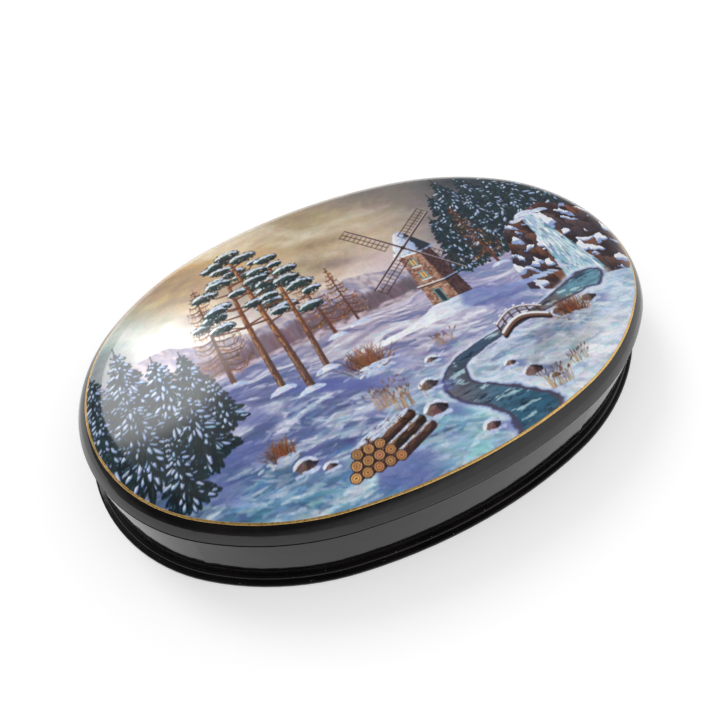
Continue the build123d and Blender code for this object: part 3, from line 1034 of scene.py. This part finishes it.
# The picture on its two patches of the dome, which meet on the lid's long axis
def picture_patch(name, part, material):
    """A dense patch of the dome that carries the picture's colours at its points."""
    x, y, colours, glow = (values[part] for values in (X, Y, canvas, pearl_glow))
    inset, nx, ny = nearest(x, y)
    shift = np.minimum(inset - picture_inset, 0)
    x, y = x + nx * shift, y + ny * shift
    inner, held = inset >= picture_inset, inset > picture_inset - 1.5 * pitch
    cells = at_corners(inner).any(-1) & at_corners(held).all(-1)
    number = np.arange(inner.size).reshape(inner.shape)
    used, faces = np.unique(at_corners(number)[cells], return_inverse=True)
    x, y = x.ravel()[used], y.ravel()[used]
    z = np.minimum(lid_height(x, y) + paint_lift, lid_top)
    patch = new_piece(name, np.stack([x, y, z], 1), faces.reshape(-1, 4), lid_normal(x, y))
    colours = linear(np.clip(colours.reshape(-1, 3)[used], 0, 1))
    colours = np.concatenate([colours, np.ones((len(colours), 1))], 1)
    paint_layer = patch.data.color_attributes.new("paint", "FLOAT_COLOR", "POINT")
    paint_layer.data.foreach_set("color", colours.astype(np.float32).ravel())
    glow_layer = patch.data.attributes.new("pearl", "FLOAT", "POINT")
    glow_layer.data.foreach_set("value", glow.ravel()[used].astype(np.float32))
    wear(patch, material)


def ribbon(name, inset, width, lift, material, unevenness=0.2):
    """A thin raised line of paint round the lid, its width a little uneven by hand."""
    profile = ((-0.5, 0), (-0.42, 0.7), (-0.2, 1), (0.2, 1), (0.42, 0.7), (0.5, 0))
    base, normals = outline(220)
    count = len(base)
    turn = np.arange(count) / count * 2 * pi
    waves = ((3, 0.3), (11, 0.25), (29, 0.25), (67, 0.2))
    wobble = sum(share * np.sin(k * turn + 1.7 * k) for k, share in waves)
    points = []
    for across, up in profile:
        place = inset + across * width * (1 + unevenness * wobble)
        x, y = (base - normals * place[:, None]).T
        points.append(np.stack([x, y, lid_height(x, y) + gilt_foot + lift * up], 1))
    j, i = np.meshgrid(np.arange(len(profile) - 1) * count, np.arange(count), indexing="ij")
    k = (i + 1) % count
    faces = np.stack([j + i, j + k, j + count + k, j + count + i], -1).reshape(-1, 4)
    piece = new_piece(name, np.concatenate(points), faces)
    wear(piece, material)


paint()
pearl_glow = pearl_field()
paint_material = picture_paint()
picture_patch("picture_far_half", slice(rows // 2, rows), paint_material)
picture_patch("picture_near_half", slice(0, rows // 2 + 1), paint_material)
ribbon("gilt_line", picture_inset, gilt_width, gilt_lift, gilt())

# What the solids wear
ebony, deep_ebony = rgb(0.1, 0.09, 0.09), rgb(0.06, 0.055, 0.055)
cinnabar, deep_cinnabar = rgb(0.61, 0.065, 0.05), rgb(0.54, 0.05, 0.04)
for material, names in (
    (lacquer("black_lacquer_wall", ebony, deep_ebony, 0.05, 1.28), "body_wall"),
    (lacquer("black_lacquer_lid", ebony, deep_ebony, 0.05, 1.52, lining=cinnabar), "lid_rim lid_panel"),
    (lacquer("black_lacquer_foot", ebony, deep_ebony, 0.07, 1.36, 0.8), "plinth"),
    (lacquer("red_lacquer_coat", cinnabar, deep_cinnabar, 0.1, 1.45), "floor_board inner_collar"),
    (pearl_shell(), "pearl_inlays"),
    (toned_brass(), "hinge_leaf_body hinge_leaf_lid hinge_pin hinge_nails_body hinge_nails_lid"),
):
    for name in names.split():
        wear(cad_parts[name], material)

# Camera: the place that the photograph was taken from
camera_azimuth = radians(-27.14)
camera_elevation = radians(52.89)
camera_roll = radians(2.16)
camera_distance = 166.53
camera_right, camera_up = -4.31, 1.61

right = Vector((cos(camera_azimuth), sin(camera_azimuth), 0))
level = Vector((-sin(camera_azimuth), cos(camera_azimuth), 0))
forward = level * cos(camera_elevation) - Vector((0, 0, sin(camera_elevation)))
up = right.cross(forward)
image_right = right * cos(camera_roll) - up * sin(camera_roll)
image_up = right * sin(camera_roll) + up * cos(camera_roll)
camera = place_in_scene("camera", bpy.data.cameras.new("camera"))
camera.data.lens = 30.91
camera.data.sensor_width = 36
camera.data.clip_start = 0.01
aim = Matrix((image_right, image_up, -forward)).transposed().to_4x4()
aim.translation = (right * camera_right + up * camera_up - forward * camera_distance) * mm
camera.matrix_world = aim
bpy.context.scene.camera = camera

# Room: what matt surfaces get, and how bright the gloss sees the floor, the walls and the ceiling
ambient = 0.77
floor_lift = 0.33
wall_left, wall_right, wall_back = 0.75, 1, 0.25
ceiling_dim, ceiling_slant, ceiling_low, ceiling_high = 0.04, 0.4, 0.22, 0.6


def stage_floor():
    """A pale table, wider than the picture."""
    mesh = bpy.data.meshes.new("table")
    mesh.from_pydata([(-4, -4, 0), (4, -4, 0), (4, 4, 0), (-4, 4, 0)], [], [(0, 1, 2, 3)])
    floor = place_in_scene("table", mesh)
    shader = Shader("table_white")
    rays = shader.node("LightPath").outputs
    seen = shader.maths("MAXIMUM", rays["Is Camera Ray"], rays["Is Glossy Ray"])
    seen = shader.maths("MAXIMUM", seen, rays["Is Transmission Ray"])
    shader.set(
        Base_Color=(0.8, 0.8, 0.81, 1), Roughness=0.95, Specular_IOR_Level=0,
        Emission_Color=(1, 1, 1, 1), Emission_Strength=shader.maths("MULTIPLY", seen, floor_lift),
    )
    wear(floor, shader.material)


def stage_world():
    """White to the camera, plain to matt surfaces; the gloss sees pale walls and a dim ceiling."""
    world = bpy.data.worlds.new("room")
    bpy.context.scene.world = world
    shader = Shader("room", world)
    place = shader.node("TexCoord").outputs["Generated"]
    split = shader.node("SeparateXYZ", {"Vector": place}).outputs
    slant = shader.maths("ADD", split["Z"], shader.maths("MULTIPLY", split["X"], -ceiling_slant))
    walls = shader.ramp(split["X"], -0.2, 0.5, wall_left, wall_right)
    front = shader.ramp(slant, ceiling_low, ceiling_high, walls, ceiling_dim)
    room = shader.ramp(split["Y"], -0.1, 0.5, front, wall_back)
    rays = shader.node("LightPath").outputs
    mirrored = shader.maths("MAXIMUM", rays["Is Glossy Ray"], rays["Is Transmission Ray"])
    light = shader.ramp(mirrored, 0, 1, ambient, room)
    shader.set(Color=(1, 1, 1, 1), Strength=shader.ramp(rays["Is Camera Ray"], 0, 1, light, 1))


def stage_lamp(place, size, watts):
    """A round soft lamp that looks at the box."""
    data = bpy.data.lights.new("window_back", "AREA")
    data.shape = "DISK"
    data.size = size
    data.energy = watts
    made = place_in_scene("window_back", data)
    made.location = place
    made.rotation_euler = (-Vector(place)).to_track_quat("-Z", "Y").to_euler()


stage_floor()
stage_world()
stage_lamp((-0.47, 2.02, 2.18), 1.05, 18.5)

bpy.context.scene.view_settings.view_transform = "Standard"
